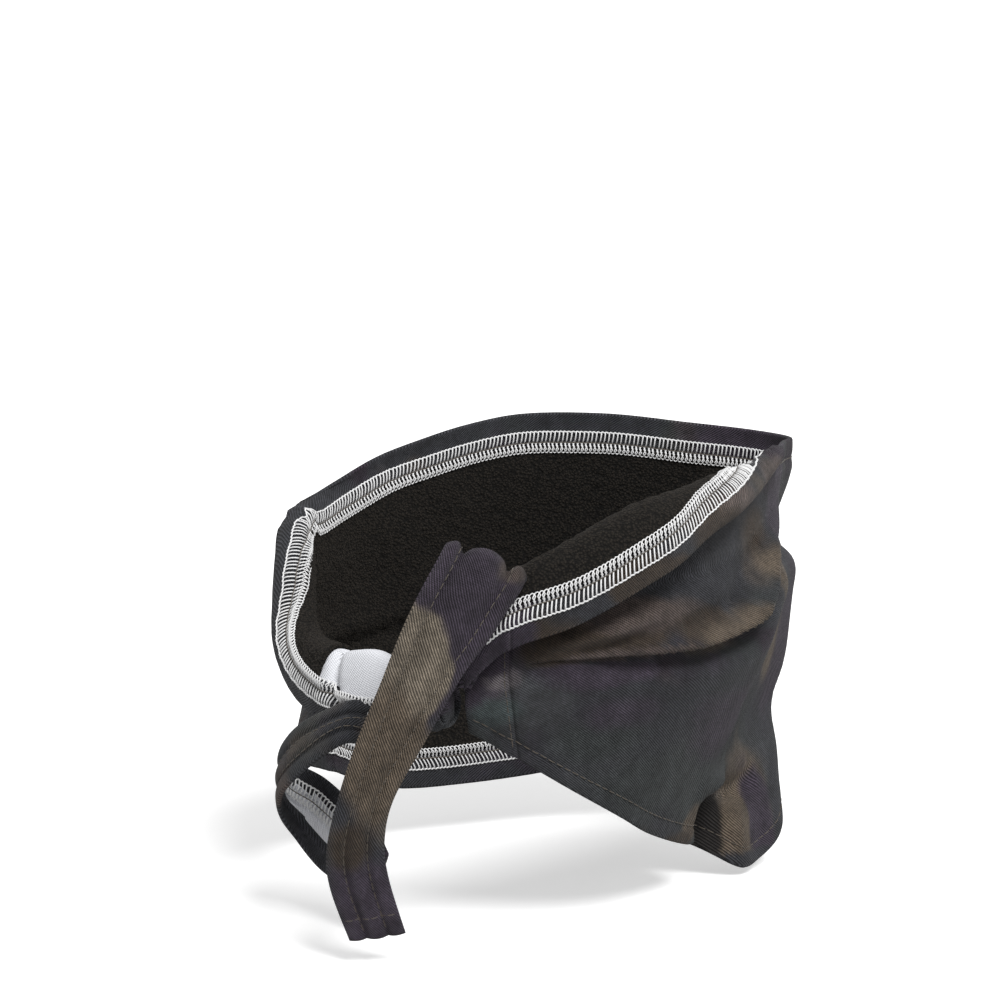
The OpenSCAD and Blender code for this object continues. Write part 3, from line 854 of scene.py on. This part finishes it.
def cross_stitches(cloth, column, first, last):
    """Needle stitches across the cloth, along one of its columns."""
    return capsules(cloth.points[column], cloth.normals[column], first, last)


def stitches(name, lines):
    return joined(name, lines, [TAN_THREAD], [0] * len(lines))


# ---------------------------------------------------------------- straps

TIE_HEM = 5.3           # from a tie's edge to its needle stitches
TIE_ALLOWANCE = 6.0     # width of a tie's turned allowance
STRAP_ROWS = 31         # rows of a tie from one edge to the other
END_HEM = 6             # columns of a tie's end hem


def strap_cloth(left, right, lobes, flip, fold=None):
    """A tie between two edge curves. lobes is how far its middle and its hems puff out; they puff
    out more where it folds over, at the point numbered fold."""
    end = len(left) - 1
    t = np.linspace(0, end, 60 * end)
    a, b = curve(left, t), curve(right, t)
    distance = run_along(0.5 * (a + b))
    columns = int(distance[-1] / 1.1)
    t = np.interp(np.linspace(0, distance[-1], columns + 1), distance, t)
    a, b = curve(left, t), curve(right, t)
    across = np.linspace(0, 1, STRAP_ROWS)
    points = a[:, None] + (b - a)[:, None] * across[None, :, None]
    cloth = Cloth(points, flip)
    x, total = cloth.across, cloth.total[:, None]
    hem = np.minimum(5.4, 0.3 * total)
    middle, side = lobes
    edge = np.minimum(x, total - x)
    height = np.where(edge < hem, side * np.sin(math.pi * np.clip(edge / hem, 0, 1)),
                      middle * np.sin(math.pi * np.clip((x - hem) / (total - 2 * hem), 0, 1)))
    height = height - 0.35 * np.exp(-((edge - hem) / 0.8) ** 2)
    if fold is not None:
        at_fold = np.exp(-((t - fold) / 1.5) ** 2)[:, None]
        height = height * (1 + 0.8 * at_fold) - 1.1 * at_fold * np.exp(-((edge - hem) / 1.3) ** 2)
    lifted = cloth.lifted(height)
    lifted.hem = hem
    return lifted


def strap_piece(name, cloth):
    """A tie of printed knit, doubled along its hems, with a white reverse between them."""
    edge = np.minimum(cloth.across, cloth.total[:, None] - cloth.across)
    outer = np.zeros(edge.shape)
    inner = -0.8 - 0.9 * smooth((cloth.hem + 1 - edge) / 0.8)

    def reverse(across, total):
        return (across > TIE_ALLOWANCE) & (across < total - TIE_ALLOWANCE)

    return cloth_mesh(name, cloth, [CAMO, WHITE], outer, inner, camo_and_painted_light, reverse)


# ---------------------------------------------------------------- build

def worn_band():
    """The whole band's cloth, with its folds, hems, seams and wrinkles."""
    whole = band_cloth(0.0, LAST)
    folds = fold_heights(whole)
    rise = folds * whole.turned + hem_heights(whole) + seam_heights(whole) + small_wrinkles(whole)
    return moved(whole, rise, folds * (1 - whole.turned))


def column_at(cloth, station):
    return float(np.interp(station, cloth.station, np.arange(len(cloth.station))))


def part_of(cloth, first, last):
    """The columns of a cloth between two stations, as a cloth of its own."""
    lo, hi = (int(round(column_at(cloth, s))) for s in (first, last))
    part = Cloth.__new__(Cloth)
    for key in ("points", "across", "total", "run", "down", "normals", "station", "knit", "lower", "turned"):
        setattr(part, key, getattr(cloth, key)[lo:hi + 1])
    return part


def bent(obj):
    """Bakes the piece's placement into its mesh."""
    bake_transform(obj)


def stands_for(obj, slot, *nodes):
    """Hides the CAD nodes that a piece takes the place of. slot, the slot of its material, is not used."""
    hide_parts(*nodes)


def worn(obj, slot, *nodes):
    """A piece that keeps its shape and stays with the mask."""
    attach(obj, "mask")
    stands_for(obj, slot, *nodes)


band = worn_band()

face = part_of(band, NEAR_SEAM, FAR_SEAM)
shell = shell_piece("face_shell", face, lined=True)
bent(shell)
stands_for(shell, "camo_knit", "face_panel", "top_cuff", "near_bib", "far_bib", "chin_bib", "front_bib")

near_wing_part = part_of(band, 0.4, NEAR_SEAM)
near_wing = shell_piece("near_wing_cloth", near_wing_part)
worn(near_wing, "camo_knit", "near_wing")

far_wing_part = part_of(band, FAR_SEAM, LAST)
far_wing = shell_piece("far_wing_cloth", far_wing_part)
worn(far_wing, "camo_knit", "far_wing")

smooth_band = band_cloth(0.0, LAST, tucked=0.0)
lining_folds = fold_heights(smooth_band)
smooth_band = moved(smooth_band, lining_folds * smooth_band.turned + small_wrinkles(smooth_band),
                    lining_folds * (1 - smooth_band.turned))
face_lining = part_of(smooth_band, 1.3, FAR_SEAM)
fleece = fleece_piece("face_fleece", face_lining)
bent(fleece)
stands_for(fleece, "black_fleece", "face_liner", "cuff_liner", "near_bib_liner", "far_bib_liner",
           "chin_bib_liner", "front_bib_liner")

wing_lining = part_of(smooth_band, FAR_SEAM, 18.9)
wing_fleece = fleece_piece("far_wing_fleece", wing_lining)
worn(wing_fleece, "black_fleece", "far_wing_liner")


def hem_webs():
    """The looper threads inside both hems."""
    first, last = column_at(band, 0.8), column_at(band, 20.7)
    top = ladder("top_web", band, first, last, WEB_FROM, WEB_TO, WEB_LIFT, 61, 0.8)
    worn(top, "white_thread", "cuff_web", "nose_web", "far_top_web")
    first, last = column_at(band, 1.0), column_at(band, 19.5)
    bottom = ladder("bottom_web", band, first, last, -WEB_FROM, -WEB_TO, WEB_LIFT, 62, 0.8)
    bent(bottom)
    stands_for(bottom, "white_thread", "near_bottom_web", "far_bottom_web", "front_bottom_web")


def hem_stitches():
    """The needle stitches outside both hems."""
    first, last = column_at(band, 0.5), column_at(band, 20.4)
    top = stitches("top_needle_line", [stitch_line(band, HEM, first, last)])
    worn(top, "tan_thread", "top_stitching")
    bottom = stitches("bottom_needle_line", [stitch_line(band, -HEM, first, last)])
    bent(bottom)
    stands_for(bottom, "tan_thread", "near_bottom_stitching", "far_bottom_stitching",
               "front_bottom_stitching")


def side_seam(name, station, node):
    """The seam's top stitching, beside its groove."""
    column = int(round(column_at(band, station)))
    rows = band.points.shape[1]
    obj = stitches(name, [cross_stitches(band, column, 3, rows - 3)])
    worn(obj, "tan_thread", node)


side_seam("near_seam_stitches", NEAR_SEAM - 0.03, "near_side_seam")
side_seam("far_seam_stitches", FAR_SEAM + 0.05, "far_side_seam")
hem_webs()
hem_stitches()


def tie_needle_lines(name, cloth):
    """Needle stitches along both hems of a tie and across its end hem."""
    end = len(cloth.run) - 1
    lines = [stitch_line(cloth, TIE_HEM, 2, end - 2), stitch_line(cloth, -TIE_HEM, 2, end - 2),
             cross_stitches(cloth, end - END_HEM, 1, STRAP_ROWS - 2)]
    return stitches(name, lines)


def near_tie():
    """The near tie: it rises from the knot, folds over and hangs."""
    cloth = strap_cloth(TIE_LEFT, TIE_RIGHT, (1.6, 0.9), True, fold=4)
    obj = strap_piece("near_tie", cloth)
    sewn = tie_needle_lines("near_tie_needle_lines", cloth)
    for piece in (obj, sewn):
        bent(piece)
    stands_for(obj, "camo_knit", "near_tie_rise", "near_tail", "near_tail_end_hem")
    stands_for(sewn, "tan_thread", "near_tail_stitching")


def far_tie():
    """The far tie: it curls round below the knot and shows the looper threads on its reverse."""
    cloth = strap_cloth(FAR_TOP, FAR_LOW, (0.8, 0.4), True)
    obj = strap_piece("far_tie", cloth)
    sewn = tie_needle_lines("far_tie_needle_lines", cloth)
    web = ladder("far_tie_web", cloth, 3, len(cloth.run) - 4, 4.6, 10.2, WEB_LIFT, 63)
    for piece in (obj, sewn, web):
        bent(piece)
    stands_for(obj, "camo_knit", "far_tie_root", "far_tail", "far_tail_end_hem")
    stands_for(sewn, "tan_thread", "far_tail_stitching")
    stands_for(web, "white_thread", "far_tail_web")


near_tie()
far_tie()


def knot():
    """A turn of gathered cloth round a pleated core, which runs from one wing to the other tie."""
    heading = math.radians(KNOT_TURN)
    way = np.array([math.cos(heading), math.sin(heading), 0])
    side = np.array([-math.sin(heading), math.cos(heading), 0])
    up = np.array([0, 0, 1.0])
    sweep = np.linspace(0, math.radians(400), 110)[:, None]
    across = np.linspace(-1, 1, 25)[None, :]
    radius = 7.0 + 1.5 * sweep / sweep.max() - 1.2 * across ** 2 + 0.55 * np.cos(3.5 * math.pi * across)
    ring = (np.cos(sweep)[..., None] * up + np.sin(sweep)[..., None] * side) * radius[..., None]
    lean = 6.5 * across + 1.2 * np.sin(sweep)
    points = np.array(KNOT) + ring + way * lean[..., None]
    turn = Cloth(points)
    turn.normals *= np.sign(np.sum(turn.normals * ring))
    height = np.zeros(turn.across.shape)
    obj = cloth_mesh("knot_turn", turn, [CAMO, WHITE], height, height - 1.2, camo_and_painted_light)
    worn(obj, "camo_knit", "near_knot_turn")

    along = np.linspace(-8.5, 13, 36)[:, None]
    angle = np.linspace(0, 2 * math.pi, 61)[None, :-1]
    swell = 5.0 + 2.2 * smooth((along - 6) / 7)
    pleats = 1 + 0.13 * np.cos(5 * angle + 0.06 * along)
    ends = 1 - 0.85 * smooth((np.abs(along - 2.25) - 9) / 2)
    reach = swell * pleats * ends
    rim = (np.cos(angle)[..., None] * side + 1.2 * np.sin(angle)[..., None] * up) * reach[..., None]
    points = np.array(KNOT) + rim + way * along[..., None]
    columns, rows = points.shape[:2]
    index = np.arange(columns * rows).reshape(columns, rows)
    a, b = index[:-1], index[1:]
    faces = [tuple(f) for f in np.stack([a, np.roll(a, -1, 1), np.roll(b, -1, 1), b], -1).reshape(-1, 4)]
    faces += [tuple(index[0][::-1]), tuple(index[-1])]
    flat = points.reshape(-1, 3)
    uv = np.stack([np.broadcast_to(along, (columns, rows)), angle * 5 + 0 * along], -1).reshape(-1, 2)
    core = new_mesh("knot_core", flat, faces, [CAMO], None, uv, camo_and_painted_light(flat))
    worn(core, "camo_knit", "far_knot_turn")


knot()


# ---------------------------------------------------------------- floor, light and camera

FLOOR_Z = -124.5
FLOOR_REACH = 40.0      # from the middle of the floor to its edges, in m
ROOM = 0.55             # brightness of the room as it lights the object
SUN_FROM = (-0.9, 0.12, 1.15)
SUN_STRENGTH = 2.9
SUN_SOFTNESS = 24.0     # angle that the soft light fills, in degrees


def studio():
    """A pale floor, a white room and one large soft light. The camera sees the floor and the room
    brighter than they light the mask."""
    mesh = bpy.data.meshes.new("floor")
    corners = [(-1, -1), (1, -1), (1, 1), (-1, 1)]
    verts = [(x * FLOOR_REACH, y * FLOOR_REACH, FLOOR_Z * MM) for x, y in corners]
    mesh.from_pydata(verts, [], [(0, 1, 2, 3)])
    floor = bpy.data.objects.new("floor", mesh)
    bpy.context.scene.collection.objects.link(floor)
    m, tree, shader = material("floor", 0.6)
    seen = tree.nodes.new("ShaderNodeLightPath").outputs["Is Camera Ray"]
    tree.links.new(mixed(tree, seen, (0.45, 0.45, 0.45), (0.9, 0.9, 0.9)), shader.inputs["Base Color"])
    shader.inputs["Emission Color"].default_value = (1, 1, 1, 1)
    tree.links.new(maths(tree, "MULTIPLY", seen, 0.4), shader.inputs["Emission Strength"])
    mesh.materials.append(m)
    world = bpy.data.worlds.new("studio")
    bpy.context.scene.world = world
    world.use_nodes = True
    tree = world.node_tree
    background = tree.nodes["Background"]
    background.inputs[0].default_value = (1, 1, 1, 1)
    seen = tree.nodes.new("ShaderNodeLightPath").outputs["Is Camera Ray"]
    tree.links.new(maths(tree, "ADD", maths(tree, "MULTIPLY", seen, 1 - ROOM), ROOM), background.inputs[1])
    light = bpy.data.lights.new("key", "SUN")
    light.energy = SUN_STRENGTH
    light.angle = math.radians(SUN_SOFTNESS)
    obj = bpy.data.objects.new("key", light)
    obj.location = SUN_FROM
    aim(obj, (0, 0, 0))
    bpy.context.scene.collection.objects.link(obj)
    bpy.context.scene.view_settings.view_transform = "Standard"


def aim(obj, target):
    """Turns an object's -Z axis to a point."""
    way = Vector(target) - Vector(obj.location)
    obj.rotation_euler = way.to_track_quat("-Z", "Y").to_euler()


def camera(azimuth=232.0, elevation=9.5, distance=1.04, lens=120.0):
    """A long lens aimed at the middle of the head opening; the angles are in degrees."""
    data = bpy.data.cameras.new("camera")
    data.lens = lens
    data.sensor_width = 36.0
    obj = bpy.data.objects.new("camera", data)
    a, e = math.radians(azimuth), math.radians(elevation)
    obj.location = (distance * math.sin(a) * math.cos(e), -distance * math.cos(a) * math.cos(e),
                    distance * math.sin(e))
    aim(obj, (0, 0, 0))
    bpy.context.scene.collection.objects.link(obj)
    bpy.context.scene.camera = obj


studio()
camera()
